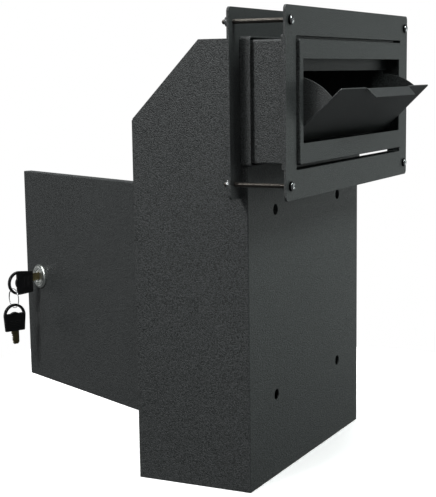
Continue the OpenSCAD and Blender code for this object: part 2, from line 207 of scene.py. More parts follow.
def linear(hex_colour):
    """sRGB hex such as '#808080' to a linear RGBA."""
    values = [int(hex_colour[i:i + 2], 16) / 255 for i in (1, 3, 5)]
    return tuple(v / 12.92 if v <= 0.04045 else ((v + 0.055) / 1.055) ** 2.4 for v in values) + (1.0,)


surround = world.node_tree
surround.nodes.clear()
seen = add(surround, "ShaderNodeLightPath")
dim = add(surround, "ShaderNodeBackground", {"Color": linear("#f2f5f8"), "Strength": SURROUND})
white = add(surround, "ShaderNodeBackground", {"Color": (1, 1, 1, 1), "Strength": 1.0})
both = add(surround, "ShaderNodeMixShader", {0: seen.outputs["Is Camera Ray"], 1: dim.outputs[0],
                                              2: white.outputs[0]})
add(surround, "ShaderNodeOutputWorld", {"Surface": both.outputs[0]})
print("surround strength:", SURROUND)

# %% [markdown]
# ## Powder coat
# The sheet parts are steel with a baked polyester powder coat in charcoal. The powder melts to a
# fine grit with a weak orange peel under it, so light breaks up into a soft speckle and nothing
# mirrors. The real grit is about half a millimetre; it is drawn near one so that it shows.

# %% Powder coat
GRIT_MM = 0.85
PEEL_MM = 4.0


def principled(name, **values):
    """A material with one Principled shader, its tree, its shader and its Object coordinates."""
    material = bpy.data.materials.new(name)
    material.use_nodes = True
    tree = material.node_tree
    shader = tree.nodes["Principled BSDF"]
    for key, value in values.items():
        shader.inputs[key.replace("_", " ")].default_value = value
    return material, tree, shader, add(tree, "ShaderNodeTexCoord").outputs["Object"]


coat, tree, shader, place = principled("powder_coat_polyester_charcoal", Roughness=0.48, IOR=1.42)
grit = add(tree, "ShaderNodeTexNoise", {"Vector": place, "Scale": 1 / (GRIT_MM * MM), "Detail": 1.0})
peel = add(tree, "ShaderNodeTexNoise", {"Vector": place, "Scale": 1 / (PEEL_MM * MM), "Detail": 2.0})
wear = add(tree, "ShaderNodeTexNoise", {"Vector": place, "Scale": 9.0, "Detail": 3.0})
speck = add(tree, "ShaderNodeMapRange", {"Value": grit.outputs["Fac"], "From Min": 0.3, "From Max": 0.7})
tone = add(tree, "ShaderNodeMix", {0: speck.outputs[0], 6: linear("#1e2020"), 7: linear("#505353")},
           data_type="RGBA")
drift = add(tree, "ShaderNodeMapRange", {"Value": wear.outputs["Fac"], "To Min": 0.92, "To Max": 1.08})
shade = add(tree, "ShaderNodeVectorMath", {0: tone.outputs[2], "Scale": drift.outputs[0]}, operation="SCALE")
tree.links.new(shade.outputs[0], shader.inputs["Base Color"])
gloss = add(tree, "ShaderNodeMapRange", {"Value": grit.outputs["Fac"], "To Min": 0.36, "To Max": 0.56})
tree.links.new(gloss.outputs[0], shader.inputs["Roughness"])
swell = add(tree, "ShaderNodeBump", {"Height": peel.outputs["Fac"], "Strength": 0.25, "Distance": 0.0003})
grain = add(tree, "ShaderNodeBump", {"Height": grit.outputs["Fac"], "Strength": 1.0, "Distance": 0.0006,
                                     "Normal": swell.outputs[0]})
tree.links.new(grain.outputs[0], shader.inputs["Normal"])

floor_paint, tree, shader, place = principled("floor_matt_white", Roughness=0.85, Emission_Strength=0.5)
shader.inputs["Emission Color"].default_value = (1, 1, 1, 1)
shader.inputs["Base Color"].default_value = linear("#f6f6f6")
floor.data.materials.append(floor_paint)
print("grit drawn at", GRIT_MM, "mm")

# %% [markdown]
# ## Metal and plastic finishes
# Bright zinc for the screw heads and nuts, a darker and browner one on the screw shanks, a duller one
# for the hidden steel, chrome on the die-cast lock, black oxide for the washers, worn nickel silver
# for the key blades, spring steel for the ring, and moulded ABS for the key heads. Real plating is
# never one flat tone, so each drifts a little in colour and gloss and has a faint ripple.

# %% Metal and plastic finishes


def metal(name, colour, darker, rough_low, rough_high, cloud_mm, ripple_mm, ripple):
    """A metal whose colour and gloss drift over cloud_mm and whose face ripples over ripple_mm."""
    material, tree, shader, place = principled(name, Metallic=1.0)
    cloud = add(tree, "ShaderNodeTexNoise", {"Vector": place, "Scale": 1 / (cloud_mm * MM), "Detail": 3.0})
    tone = add(tree, "ShaderNodeMix", {0: cloud.outputs["Fac"], 6: linear(colour), 7: linear(darker)},
               data_type="RGBA")
    tree.links.new(tone.outputs[2], shader.inputs["Base Color"])
    gloss = add(tree, "ShaderNodeMapRange", {"Value": cloud.outputs["Fac"], "From Min": 0.3, "From Max": 0.7,
                                             "To Min": rough_low, "To Max": rough_high})
    tree.links.new(gloss.outputs[0], shader.inputs["Roughness"])
    wave = add(tree, "ShaderNodeTexNoise", {"Vector": place, "Scale": 1 / (ripple_mm * MM), "Detail": 1.0})
    bump = add(tree, "ShaderNodeBump", {"Height": wave.outputs["Fac"], "Strength": ripple,
                                        "Distance": 0.0002})
    tree.links.new(bump.outputs[0], shader.inputs["Normal"])
    return material


bright_zinc = metal("zinc_plating_bright", "#d6d8d9", "#8d8f90", 0.12, 0.3, 1.6, 0.9, 0.5)
# The screw shanks get a darker, browner zinc than the heads.
thread_zinc = metal("zinc_plating_darker_shank", "#8a8680", "#3c3834", 0.26, 0.44, 1.3, 0.8, 0.8)
dull_zinc = metal("zinc_plating_dull", "#a9adb0", "#83878a", 0.32, 0.46, 6.0, 0.8, 0.25)
chrome = metal("chrome_on_zinc_casting", "#fdfffc", "#b6beb8", 0.22, 0.5, 1.5, 1.0, 0.9)
black_oxide = metal("black_oxide_steel", "#1b1c1d", "#0f1010", 0.38, 0.5, 2.0, 0.7, 0.3)
nickel_silver = metal("nickel_silver_worn", "#b9ac82", "#5f583f", 0.26, 0.44, 1.8, 0.6, 0.4)
spring_steel = metal("spring_steel_wire", "#b4b6b8", "#8b8e90", 0.22, 0.34, 2.0, 0.8, 0.2)

key_abs, tree, shader, place = principled("abs_moulded_black", IOR=1.53, Roughness=0.38)
spark = add(tree, "ShaderNodeTexNoise", {"Vector": place, "Scale": 1 / (0.5 * MM), "Detail": 1.0})
tone = add(tree, "ShaderNodeMix", {0: spark.outputs["Fac"], 6: linear("#0b0b0c"), 7: linear("#151516")},
           data_type="RGBA")
tree.links.new(tone.outputs[2], shader.inputs["Base Color"])
gloss = add(tree, "ShaderNodeMapRange", {"Value": spark.outputs["Fac"], "To Min": 0.3, "To Max": 0.46})
tree.links.new(gloss.outputs[0], shader.inputs["Roughness"])
rough = add(tree, "ShaderNodeBump", {"Height": spark.outputs["Fac"], "Strength": 0.3, "Distance": 0.0001})
tree.links.new(rough.outputs[0], shader.inputs["Normal"])

FINISH_OF_SLOT = {
    "powder_coat": coat, "black_washer": black_oxide, "bright_zinc": bright_zinc, "zinc_steel": dull_zinc,
    "chrome": chrome, "key_plastic": key_abs, "nickel": nickel_silver}
SLOT_OF_NODE = {part["node"]: part["material_slot"] for part in frame["record"]["subparts"]}
BODY_OF_NODE = {n: b for b, members in frame["record"]["behaviour"]["bodies"].items() for n in members}
for name, obj in NODES.items():
    obj.data.materials.clear()
    obj.data.materials.append(FINISH_OF_SLOT[SLOT_OF_NODE[name]])
print("finishes:", len(FINISH_OF_SLOT))

# %% [markdown]
# ## Softened sheet
# Cut and folded sheet never has a knife edge: the cut is deburred and the coat rounds it again.
# Each sheet part is a merged copy of its CAD solid with small rounded edges, and a larger radius
# where the sheet is folded. Face-weighted normals keep the flat faces flat.

# %% Softened sheet
EDGE_MM = 0.32
FOLD_MM = 1.2


def clean(mesh, carry=None):
    """A merged, dissolved BMesh copy of a mesh, after an optional move."""
    bm = bmesh.new()
    bm.from_mesh(mesh)
    if carry:
        bm.transform(carry)
    bmesh.ops.remove_doubles(bm, verts=bm.verts, dist=2e-6)
    bmesh.ops.dissolve_limit(bm, angle_limit=math.radians(0.6), verts=bm.verts, edges=bm.edges)
    return bm


def round_edges(bm, size_mm, chosen=None, segments=2, sharper_than=32):
    """Rounds the edges that turn by more than an angle, or of those only the ones that chosen accepts."""
    limit = math.radians(sharper_than)
    edges = [e for e in bm.edges if e.is_manifold and e.calc_face_angle(0) > limit]
    edges = [e for e in edges if not chosen or chosen(e)]
    bmesh.ops.bevel(bm, geom=edges, offset=size_mm * MM, segments=segments, profile=0.5, affect="EDGES",
                    clamp_overlap=True)
    return len(edges)


def settle(bm, name, carry=None):
    """Turns a BMesh into a mesh with smooth, face-weighted normals, after an optional move."""
    if carry:
        bm.transform(carry)
    bmesh.ops.recalc_face_normals(bm, faces=bm.faces)
    mesh = bpy.data.meshes.new(name)
    bm.to_mesh(mesh)
    bm.free()
    mesh.shade_smooth()
    return evaluated(mesh, lambda m: setattr(m, "keep_sharp", True), "WEIGHTED_NORMAL")


def evaluated(mesh, setup, kind):
    """The mesh after one modifier."""
    carrier = bpy.data.objects.new("carrier", mesh)
    SCENE.collection.objects.link(carrier)
    modifier = carrier.modifiers.new(kind, kind)
    setup(modifier)
    graph = bpy.context.evaluated_depsgraph_get()
    result = bpy.data.meshes.new_from_object(carrier.evaluated_get(graph), depsgraph=graph)
    result.name = mesh.name
    bpy.data.objects.remove(carrier)
    return result


def place_piece(name, mesh, *nodes, finish=None):
    """Shows a mesh in place of its CAD nodes, with their body and the finish of their slot."""
    obj = bpy.data.objects.new(name, mesh)
    SCENE.collection.objects.link(obj)
    slot = SLOT_OF_NODE[nodes[0]]
    mesh.materials.clear()
    mesh.materials.append(finish or FINISH_OF_SLOT[slot])
    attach(obj, BODY_OF_NODE[nodes[0]])
    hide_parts(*nodes)
    print(f"{name}: {len(mesh.polygons)} faces")
    return obj


def soften(node, name, folds=None, carry=None, edge_mm=EDGE_MM, fold_mm=FOLD_MM):
    """A CAD sheet part with rounded cut edges, and a larger radius on the edges that folds accepts."""
    bm = clean(NODES[node].data, carry.inverted() if carry else None)
    if folds:
        round_edges(bm, fold_mm, folds, segments=4)
    round_edges(bm, edge_mm)
    return place_piece(name, settle(bm, name, carry), node)


def middle(edge):
    """An edge's middle in millimetres."""
    return (edge.verts[0].co + edge.verts[1].co) / 2 / MM


def union(nodes):
    """One merged mesh of several CAD solids that touch."""
    whole = NODES[nodes[0]].data.copy()
    for node in nodes[1:]:

        def join(modifier, node=node):
            modifier.operation = "UNION"
            modifier.solver = "EXACT"
            modifier.object = NODES[node]

        whole = evaluated(whole, join, "BOOLEAN")
    return whole


print("edge radius", EDGE_MM, "mm, fold radius", FOLD_MM, "mm")

# %% [markdown]
# ## Box
# The sides, front and rear are one wrap of sheet, joined so that the folds run clean from top to
# bottom. The roof and the bottom are separate sheets let in between the sides, with a fine seam.

# %% Box
shell = clean(union(["left_side_panel", "front_panel", "right_side_panel", "rear_frame", "door_return"]))
rear_y = max(v.co.y for v in shell.verts) / MM


def round_the_doorway(edge):
    """The folded edge round the door opening, on the rear face."""
    at = middle(edge)
    return abs(at.y - rear_y) < 0.05 and abs(at.x) < 110 and 45 < at.z < 262


round_edges(shell, FOLD_MM, round_the_doorway, segments=4)
round_edges(shell, EDGE_MM)
place_piece("box_wrap", settle(shell, "box_wrap"), "left_side_panel", "front_panel", "right_side_panel",
            "rear_frame", "door_return")
soften("roof_panel", "box_roof")
soften("bottom_panel", "box_bottom")
soften("wall_flange", "wall_flange_plate", edge_mm=0.4)
soften("chute_collar", "wall_collar", edge_mm=0.4)

# %% [markdown]
# ## Chute
# The sleeve and its front frame are one folded duct: the long front edges get the fold radius and
# the loading opening is a deburred cut. The face plate has its welded return flange behind.

# %% Chute
duct = clean(union(["chute_sleeve", "sleeve_front"]))
front_y = min(v.co.y for v in duct.verts) / MM
half_w = max(v.co.x for v in duct.verts) / MM
duct_low = min(v.co.z for v in duct.verts) / MM
duct_high = max(v.co.z for v in duct.verts) / MM


def round_the_front(edge):
    """The folded outer edge of the sleeve's front."""
    at = middle(edge)
    rim = min(half_w - abs(at.x), at.z - duct_low, duct_high - at.z)
    return abs(at.y - front_y) < 0.05 and rim < 1.5


round_edges(duct, 1.0, round_the_front, segments=4)
round_edges(duct, EDGE_MM)
place_piece("chute_duct", settle(duct, "chute_duct"), "chute_sleeve", "sleeve_front")
plate = clean(union(["face_plate", "window_return"]))
round_edges(plate, 0.45)
place_piece("street_plate", settle(plate, "street_plate"), "face_plate", "window_return")
soften("sleeve_spacers", "spacer_bars")
soften("hopper_stop", "hopper_stop_angle")
soften("hopper_cheek_left", "cheek_left", carry=HOPPER)
soften("hopper_cheek_right", "cheek_right", carry=HOPPER)
soften("hopper_pivot_rod", "pivot_rod", edge_mm=0.5)
soften("pivot_rod_caps", "pivot_bosses", edge_mm=0.5)

# %% [markdown]
# ## Hopper panel
# The tilting panel is one blank of sheet with a pull lip bent forward along its top edge. It is
# drawn flat, with a relief notch at each end of the bend, given its thickness and rounded edges,
# and then bent, so the outside of the bend has the true radius.

# %% Hopper panel
BEND_MM = 1.1
NOTCH_MM = 1.3


def closed_box(node, carry):
    """Lowest and highest corner of a CAD node in millimetres, after its joint is closed."""
    back = carry.inverted()
    points = [back @ v.co / MM for v in NODES[node].data.vertices]
    return (Vector([min(p[i] for p in points) for i in range(3)]),
            Vector([max(p[i] for p in points) for i in range(3)]))


low, high = closed_box("hopper_panel", HOPPER)
back = HOPPER.inverted()
panel_points = [back @ v.co / MM for v in NODES["hopper_panel"].data.vertices]
sheet = 1.2
front = high.y - sheet
lip_half = max(p.x for p in panel_points if p.y < low.y + 0.1)
top_half = max(p.x for p in panel_points if p.z > high.z - 0.05)
low_half = high.x
taper_at = max(p.z for p in panel_points if p.x > low_half - 0.05) - low.z
tall = high.z - low.z
bend_start = tall - BEND_MM - sheet
bend_end = bend_start + (BEND_MM + sheet / 2) * math.pi / 2
lip_end = bend_end + front - low.y - BEND_MM


def bend_lip(v):
    """Carries a point of the flat blank (across, along, through) to the bent panel."""
    across, along, through = v.co / MM
    y, z = front + through, low.z + along
    if abs(across) <= lip_half + 0.01 and along > bend_start:
        angle = min((along - bend_start) / (BEND_MM + sheet / 2), math.pi / 2)
        reach = max(along - bend_end, 0)
        y = front - BEND_MM + (BEND_MM + through) * math.cos(angle) - reach
        z = low.z + bend_start + (BEND_MM + through) * math.sin(angle)
    v.co = Vector((across, y, z)) * MM


half = [(low_half, 0), (low_half, taper_at), (top_half, tall - 1.2), (top_half - 1.0, tall),
        (lip_half + NOTCH_MM + 1.5, tall), (lip_half + NOTCH_MM, bend_start - 0.5),
        (lip_half, bend_start - 0.5),
        (lip_half, bend_start), (lip_half - 0.6, lip_end - 1.2), (lip_half - 1.8, lip_end)]
outline = half + [(-x, s) for x, s in reversed(half)]
blank = bmesh.new()
face = blank.faces.new([blank.verts.new((x * MM, s * MM, 0)) for x, s in outline])
raised = bmesh.ops.extrude_face_region(blank, geom=[face])["geom"]
raised = [g for g in raised if isinstance(g, bmesh.types.BMVert)]
bmesh.ops.translate(blank, verts=raised, vec=(0, 0, sheet * MM))
round_edges(blank, 0.3)
steps = 7
for step in range(steps + 1):
    along = bend_start + (bend_end - bend_start) * step / steps
    everything = blank.verts[:] + blank.edges[:] + blank.faces[:]
    bmesh.ops.bisect_plane(blank, geom=everything, plane_co=(0, along * MM, 0), plane_no=(0, 1, 0))
for v in blank.verts:
    bend_lip(v)
place_piece("hopper_front", settle(blank, "hopper_front", HOPPER), "hopper_panel")

# %% [markdown]
# ## Door and hinges
# The door is a shallow tray, folded on all four sides, so its outer rim gets the fold radius. Two
# butt hinges carry it, with their leaves riveted on.

# %% Door and hinges
door_low, door_high = closed_box("door_panel", DOOR)


def door_folds(edge):
    """The folded rim of the door's outer face, with the door closed."""
    at = middle(edge)
    rim = min(at.x - door_low.x, door_high.x - at.x, at.z - door_low.z, door_high.z - at.z)
    return abs(at.y - door_high.y) < 0.05 and rim < 0.1


soften("door_panel", "door_tray", door_folds, DOOR)
soften("hinge_fixed_leaves", "hinge_leaves_fixed", edge_mm=0.2)
soften("hinge_door_leaves", "hinge_leaves_door", edge_mm=0.2)
soften("hinge_pins", "hinge_pins_finish", edge_mm=0.35)

# %% [markdown]
# ## Trees for the hardware
# Screws, nuts, washers, rivets and threads repeat, so each is a node tree with its real sizes as
# named inputs. Their own frame has X across, Y up and Z out of the plate they sit on.

# %% Trees for the hardware
SOCKET = {int: "NodeSocketInt", float: "NodeSocketFloat"}


def new_tree(name, **sizes):
    """A geometry node tree with a named input for each size, and its input sockets."""
    tree = bpy.data.node_groups.new(name, "GeometryNodeTree")
    for key, value in sizes.items():
        socket = tree.interface.new_socket(key, in_out="INPUT", socket_type=SOCKET[type(value)])
        socket.default_value = value
    tree.interface.new_socket("Geometry", in_out="OUTPUT", socket_type="NodeSocketGeometry")
    return tree, add(tree, "NodeGroupInput").outputs


def sum_of(tree, operation, *terms):
    """A number worked out from two or three numbers or sockets."""
    return add(tree, "ShaderNodeMath", dict(enumerate(terms)), operation=operation).outputs[0]


def give(tree, geometry):
    """Sends the geometry out of the tree."""
    add(tree, "NodeGroupOutput", {"Geometry": geometry})
    return tree


# A thread: a diamond ridge wound round the axis, from z = 0 down
tree, size = new_tree("thread_ridge", Crest=2.0, Pitch=0.7, Length=10.0)
flank = sum_of(tree, "MULTIPLY", size["Pitch"], 0.5)
core = sum_of(tree, "SUBTRACT", size["Crest"], flank)
turns = sum_of(tree, "DIVIDE", size["Length"], size["Pitch"])
drop = sum_of(tree, "MULTIPLY", size["Length"], -1.0)
helix = add(tree, "GeometryNodeCurveSpiral", {"Resolution": 18, "Rotations": turns, "Start Radius": core,
                                              "End Radius": core, "Height": drop})
upright = add(tree, "GeometryNodeSetCurveNormal", {"Curve": helix.outputs[0]}, mode="Z_UP")
diamond = add(tree, "GeometryNodeCurvePrimitiveCircle", {"Resolution": 4, "Radius": flank})
ridge = add(tree, "GeometryNodeCurveToMesh", {"Curve": upright.outputs[0], "Fill Caps": True,
                                              "Profile Curve": diamond.outputs[0]})
RIDGE = give(tree, ridge.outputs[0])

# A pan-head machine screw with a cross recess
tree, size = new_tree("pan_head_screw", Crest=2.0, Pitch=0.7, Length=10.0, Head=3.8, Height=2.3)
thread = add(tree, "GeometryNodeGroup", {"Crest": size["Crest"], "Pitch": size["Pitch"],
                                         "Length": size["Length"]}, node_tree=RIDGE)
core = sum_of(tree, "SUBTRACT", size["Crest"], sum_of(tree, "MULTIPLY", size["Pitch"], 0.5))
shank = add(tree, "GeometryNodeMeshCylinder", {"Vertices": 32, "Radius": core, "Depth": size["Length"]})
half_down = add(tree, "ShaderNodeCombineXYZ", {"Z": sum_of(tree, "MULTIPLY", size["Length"], -0.5)})
shank = add(tree, "GeometryNodeTransform", {"Geometry": shank.outputs[0],
                                            "Translation": half_down.outputs[0]})
ball = add(tree, "GeometryNodeMeshUVSphere", {"Segments": 48, "Rings": 24, "Radius": 1.0})
at = add(tree, "ShaderNodeSeparateXYZ", {0: add(tree, "GeometryNodeInputPosition").outputs[0]}).outputs
rise = sum_of(tree, "POWER", sum_of(tree, "MAXIMUM", at["Z"], 0.0), 0.75)
sink = sum_of(tree, "MULTIPLY", sum_of(tree, "MINIMUM", at["Z"], 0.0), 0.06)
dome_z = sum_of(tree, "MULTIPLY", sum_of(tree, "ADD", rise, sink), size["Height"])
dome_at = add(tree, "ShaderNodeCombineXYZ", {"X": sum_of(tree, "MULTIPLY", at["X"], size["Head"]),
                                             "Y": sum_of(tree, "MULTIPLY", at["Y"], size["Head"]),
                                             "Z": dome_z})
dome = add(tree, "GeometryNodeSetPosition", {"Geometry": ball.outputs[0], "Position": dome_at.outputs[0]})
bar = add(tree, "GeometryNodeMeshCube", {"Size": (1.0, 1.0, 1.0)})
narrow = sum_of(tree, "MULTIPLY_ADD", at["Z"], 0.5, 0.75)
bar_z = sum_of(tree, "MULTIPLY", sum_of(tree, "MULTIPLY_ADD", at["Z"], 1.2, 1.0), size["Height"])
long_x = sum_of(tree, "MULTIPLY", sum_of(tree, "MULTIPLY", at["X"], size["Head"]), narrow)
thin_y = sum_of(tree, "MULTIPLY", sum_of(tree, "MULTIPLY", at["Y"], size["Head"]), 0.24)
bar_at = add(tree, "ShaderNodeCombineXYZ", {"X": long_x, "Y": thin_y, "Z": bar_z})
bar = add(tree, "GeometryNodeSetPosition", {"Geometry": bar.outputs[0], "Position": bar_at.outputs[0]})
across = add(tree, "GeometryNodeTransform", {"Geometry": bar.outputs[0], "Rotation": (0, 0, math.pi / 2)})
head = add(tree, "GeometryNodeMeshBoolean", {"Mesh 1": dome.outputs[0],
                                             "Mesh 2": [bar.outputs[0], across.outputs[0]]},
           operation="DIFFERENCE", solver="EXACT")
whole = add(tree, "GeometryNodeJoinGeometry", {0: [thread.outputs[0], shank.outputs[0], head.outputs[0]]})
SCREW = give(tree, whole.outputs[0])

# A flat washer with rolled edges
tree, size = new_tree("flat_washer", Outer=4.8, Inner=2.1, Thickness=1.0)
path_r = sum_of(tree, "MULTIPLY", sum_of(tree, "ADD", size["Outer"], size["Inner"]), 0.5)
path = add(tree, "GeometryNodeCurvePrimitiveCircle", {"Resolution": 64, "Radius": path_r})
band = sum_of(tree, "SUBTRACT", size["Outer"], size["Inner"])
profile = add(tree, "GeometryNodeCurvePrimitiveQuadrilateral", {"Width": size["Thickness"], "Height": band})
roll = sum_of(tree, "MULTIPLY", size["Thickness"], 0.3)
profile = add(tree, "GeometryNodeFilletCurve", {"Curve": profile.outputs[0], "Radius": roll, "Count": 3},
              mode="POLY")
ring = add(tree, "GeometryNodeCurveToMesh", {"Curve": path.outputs[0], "Profile Curve": profile.outputs[0]})
WASHER = give(tree, ring.outputs[0])

# A hexagon nut, chamfered on its outer side
tree, size = new_tree("hex_nut", Flats=7.2, Height=3.3, Bore=2.0)
corner = sum_of(tree, "DIVIDE", size["Flats"], math.sqrt(3))
prism = add(tree, "GeometryNodeMeshCylinder", {"Vertices": 6, "Radius": corner, "Depth": size["Height"]})
lift = add(tree, "ShaderNodeCombineXYZ", {"Z": sum_of(tree, "MULTIPLY", size["Height"], 0.5)})
prism = add(tree, "GeometryNodeTransform", {"Geometry": prism.outputs[0], "Translation": lift.outputs[0]})
top_r = sum_of(tree, "MULTIPLY", size["Flats"], 0.46)
base_r = sum_of(tree, "MULTIPLY_ADD", size["Height"], 1.7, top_r)
cone = add(tree, "GeometryNodeMeshCone", {"Vertices": 64, "Radius Top": top_r, "Radius Bottom": base_r,
                                          "Depth": size["Height"]})
hexagon = add(tree, "GeometryNodeMeshBoolean", {"Mesh 2": [prism.outputs[0], cone.outputs[0]]},
              operation="INTERSECT", solver="EXACT")
bore = add(tree, "GeometryNodeMeshCylinder", {"Vertices": 48, "Radius": size["Bore"],
                                              "Depth": sum_of(tree, "MULTIPLY", size["Height"], 4.0)})
nut = add(tree, "GeometryNodeMeshBoolean", {"Mesh 1": hexagon.outputs[0], "Mesh 2": bore.outputs[0]},
          operation="DIFFERENCE", solver="EXACT")
NUT = give(tree, nut.outputs[0])

# A split ring: two close turns of wire
tree, size = new_tree("split_ring", Radius=8.5, Wire=0.3)
coil = add(tree, "GeometryNodeCurveSpiral", {"Resolution": 48, "Rotations": 2.1,
                                             "Start Radius": size["Radius"],
                                             "End Radius": size["Radius"],
                                             "Height": sum_of(tree, "MULTIPLY", size["Wire"], 2.0)})
upright = add(tree, "GeometryNodeSetCurveNormal", {"Curve": coil.outputs[0]}, mode="Z_UP")
wire = add(tree, "GeometryNodeCurvePrimitiveCircle", {"Resolution": 12, "Radius": size["Wire"]})
coil = add(tree, "GeometryNodeCurveToMesh", {"Curve": upright.outputs[0], "Profile Curve": wire.outputs[0],
                                             "Fill Caps": True})
sunk = add(tree, "ShaderNodeCombineXYZ", {"Z": sum_of(tree, "MULTIPLY", size["Wire"], -1.0)})
coil = add(tree, "GeometryNodeTransform", {"Geometry": coil.outputs[0], "Translation": sunk.outputs[0]})
RING = give(tree, coil.outputs[0])

# A dome rivet, half sunk into its plate
tree, size = new_tree("dome_rivet", Radius=2.0, Height=0.8)
ball = add(tree, "GeometryNodeMeshUVSphere", {"Segments": 32, "Rings": 16, "Radius": 1.0})
squash = add(tree, "ShaderNodeCombineXYZ", {"X": size["Radius"], "Y": size["Radius"], "Z": size["Height"]})
ball = add(tree, "GeometryNodeTransform", {"Geometry": ball.outputs[0], "Scale": squash.outputs[0]})
RIVET = give(tree, ball.outputs[0])


def finished(part, on_grid):
    """The tree that a modifier runs: one part, or one at each point of a grid, realised and finished."""
    tree = bpy.data.node_groups.new(part.name + "_finished", "GeometryNodeTree")
    sockets = [i for i in part.interface.items_tree if i.in_out == "INPUT"]
    wanted = [(i.name, i.socket_type, i.default_value) for i in sockets]
    names = [name for name, kind, default in wanted]
    if on_grid:
        wanted += [("Columns", SOCKET[int], 2), ("Rows", SOCKET[int], 2)]
        wanted += [("Span across", SOCKET[float], 10.0), ("Span up", SOCKET[float], 10.0)]
    for name, kind, default in wanted:
        tree.interface.new_socket(name, in_out="INPUT", socket_type=kind).default_value = default
    tree.interface.new_socket("Finish", in_out="INPUT", socket_type="NodeSocketMaterial")
    tree.interface.new_socket("Geometry", in_out="OUTPUT", socket_type="NodeSocketGeometry")
    size = add(tree, "NodeGroupInput").outputs
    sizes = {name: size[name] for name in names}
    geometry = add(tree, "GeometryNodeGroup", sizes, node_tree=part).outputs[0]
    if on_grid:
        grid = add(tree, "GeometryNodeMeshGrid", {"Size X": size["Span across"], "Size Y": size["Span up"],
                                                  "Vertices X": size["Columns"], "Vertices Y": size["Rows"]})
        geometry = add(tree, "GeometryNodeInstanceOnPoints", {"Points": grid.outputs[0],
                                                              "Instance": geometry}).outputs[0]
    real = add(tree, "GeometryNodeRealizeInstances", {"Geometry": geometry})
    painted = add(tree, "GeometryNodeSetMaterial", {"Geometry": real.outputs[0], "Material": size["Finish"]})
    return give(tree, painted.outputs[0])


TREES = {}


def grow(part, finish, carry, on_grid=True, **sizes):
    """Runs a part's tree at sizes in millimetres and returns a BMesh of the result, carried into place."""
    key = (part.name, on_grid)
    if key not in TREES:
        TREES[key] = finished(part, on_grid)
    carrier = bpy.data.objects.new("carrier", bpy.data.meshes.new("carrier"))
    SCENE.collection.objects.link(carrier)
    modifier = carrier.modifiers.new("grow", "NODES")
    modifier.node_group = TREES[key]
    values = {k.replace("_", " "): v for k, v in sizes.items()}
    values["Finish"] = finish
    for item in TREES[key].interface.items_tree:
        if item.in_out == "INPUT" and item.name in values:
            modifier[item.identifier] = values[item.name]
    graph = bpy.context.evaluated_depsgraph_get()
    mesh = bpy.data.meshes.new_from_object(carrier.evaluated_get(graph), depsgraph=graph)
    carrier.modifiers.clear()
    bpy.data.objects.remove(carrier)
    bm = bmesh.new()
    bm.from_mesh(mesh)
    bmesh.ops.scale(bm, vec=(MM, MM, MM), verts=bm.verts)
    bm.transform(carry)
    return bm


def facing(direction, x, y, z):
    """Stands the hardware's own frame at a point in mm, facing the street (-1) or the room (1)."""
    turn = Matrix.Rotation(math.radians(-90 * direction), 4, "X")
    return Matrix.Translation(Vector((x, y, z)) * MM) @ turn


def joined(first, *others):
    """One BMesh that holds several."""
    for other in others:
        shell = bpy.data.meshes.new("shell")
        other.to_mesh(shell)
        other.free()
        first.from_mesh(shell)
    return first


print("hardware trees: thread, screw, washer, nut, split ring, rivet")

# %% [markdown]
# ## Clamping screws
# Four M4 pan-head screws clamp the two plates through the wall, with a thin black washer under
# each head, a thicker one behind the flange, and a nut. The thread has its real 0.7 mm pitch.

# %% Clamping screws
low, high = (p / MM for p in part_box("bolt_washers"))
SPAN = {"Span_across": high.x - low.x - 9.6, "Span_up": high.z - low.z - 9.6}
mid_z = (low.z + high.z) / 2
screw_low, screw_high = (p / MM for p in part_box("through_bolts"))
length = screw_high.y - low.y
screws = grow(SCREW, bright_zinc, facing(-1, 0, low.y, mid_z), Crest=2.0, Pitch=0.7, Length=length,
              Head=3.8, Height=low.y - screw_low.y, **SPAN)
screws = place_piece("clamp_screws", settle(screws, "clamp_screws"), "through_bolts")
# Faces behind the washer's face, the shank and its thread, take the darker, browner zinc.
screws.data.materials.append(thread_zinc)
for face in screws.data.polygons:
    face.material_index = int(face.center.y > low.y * MM)
washers = grow(WASHER, black_oxide, facing(-1, 0, (low.y + high.y) / 2, mid_z), Outer=4.8, Inner=2.1,
               Thickness=high.y - low.y, **SPAN)
place_piece("street_washers", settle(washers, "street_washers"), "bolt_washers")
low, high = (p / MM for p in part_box("flange_washers"))
washers = grow(WASHER, black_oxide, facing(1, 0, (low.y + high.y) / 2, mid_z), Outer=4.8, Inner=2.1,
               Thickness=high.y - low.y, **SPAN)
place_piece("room_washers", settle(washers, "room_washers"), "flange_washers")
low, high = (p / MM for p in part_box("flange_nuts"))
nuts = grow(NUT, bright_zinc, facing(1, 0, low.y, mid_z), Flats=7.2, Height=high.y - low.y, Bore=2.02,
            **SPAN)
round_edges(nuts, 0.12)
place_piece("room_nuts", settle(nuts, "room_nuts"), "flange_nuts")

# %% [markdown]
# ## Hinge rivets
# Each hinge leaf is held by three dome rivets, set before the coat went on, so they share its
# finish. They aren't in the CAD: they are added on top of the leaves and ride with them.

# %% Hinge rivets
pins_low, pins_high = (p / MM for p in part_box("hinge_pins"))
LEAF_L = 40.0
first_z = pins_low.z + 1.6
hinge_middles = (first_z + LEAF_L / 2, pins_high.z - 1.6 - LEAF_L / 2)
plate_of = {"hinge_fixed_leaves": None, "hinge_door_leaves": DOOR}
for node, carry in plate_of.items():
    low, high = closed_box(node, carry or Matrix())
    outer_x = low.x + 4.7 if carry is None else high.x - 4.7
    rows = [grow(RIVET, coat, facing(1, outer_x, low.y + 1.0, z), Radius=2.1, Height=0.8, Columns=1, Rows=3,
                 Span_across=0.0, Span_up=26.0) for z in hinge_middles]
    name = node.replace("leaves", "rivets")
    rivets = bpy.data.objects.new(name, settle(joined(*rows), name, carry))
    SCENE.collection.objects.link(rivets)
    rivets.data.materials.clear()
    rivets.data.materials.append(coat)
    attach(rivets, BODY_OF_NODE[node])
    print(f"{name}: {len(rivets.data.polygons)} faces")

